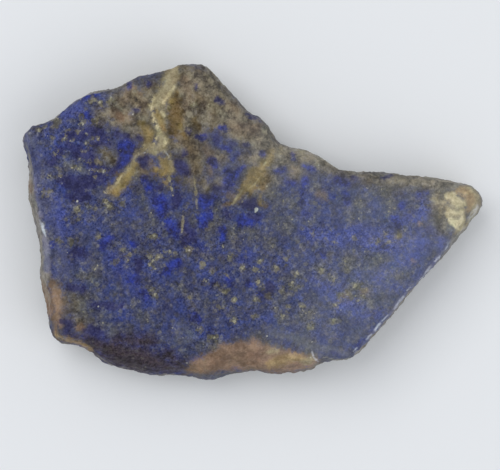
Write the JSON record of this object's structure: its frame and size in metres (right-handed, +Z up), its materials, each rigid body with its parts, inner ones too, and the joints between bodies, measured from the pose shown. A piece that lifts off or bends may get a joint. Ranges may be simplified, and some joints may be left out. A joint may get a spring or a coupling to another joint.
{
  "type": "rough lapis lazuli slab",
  "caption": "Flat, irregular slab of rough blue stone with pale and golden-brown veins, broken round the rim, lying flat to be held, shown or cut.",
  "frame": {"origin": "centre of the bounding box in plan, on the surface that the slab rests on", "axes": "+Z up through the thickness, towards the flat front face; +X along the length, towards the pointed tip; +Y across the width, towards the peak"},
  "size_m": [0.075, 0.0516, 0.0125],
  "materials": {
    "lapis": "natural stone, dull: deep blue with olive-grey mottling, cream and ochre calcite veins, tan rind and fine golden specks"
  },
  "bodies": {
    "root": {"stone": "lapis"}
  },
  "joints": []
}
